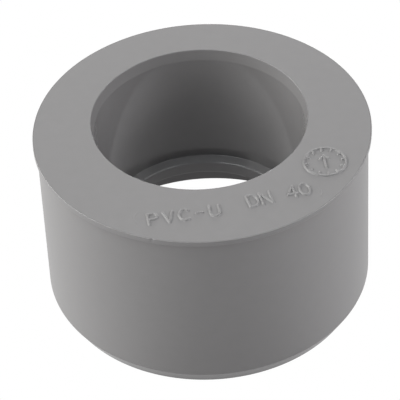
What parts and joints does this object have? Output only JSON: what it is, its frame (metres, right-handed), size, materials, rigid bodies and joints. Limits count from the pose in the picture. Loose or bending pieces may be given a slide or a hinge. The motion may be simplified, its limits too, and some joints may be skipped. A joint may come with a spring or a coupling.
{
  "type": "reducing coupling",
  "caption": "Grey PVC-U reducing coupling for solvent-welded waste pipe: a round spigot with a thin rim outside, and an off-centre pipe socket with a stop inside.",
  "frame": {"origin": "centre of the spigot's open end, on the spigot's axis", "axes": "+Z along the spigot's axis from its open end up to the rim and the socket's mouth; +Y the way the socket's axis is offset; +X completes a right-handed frame"},
  "size_m": [0.0644, 0.0644, 0.038],
  "materials": {
    "grey_pvc": "satin"
  },
  "bodies": {
    "root": {"reducer_body": "grey_pvc"}
  },
  "joints": []
}
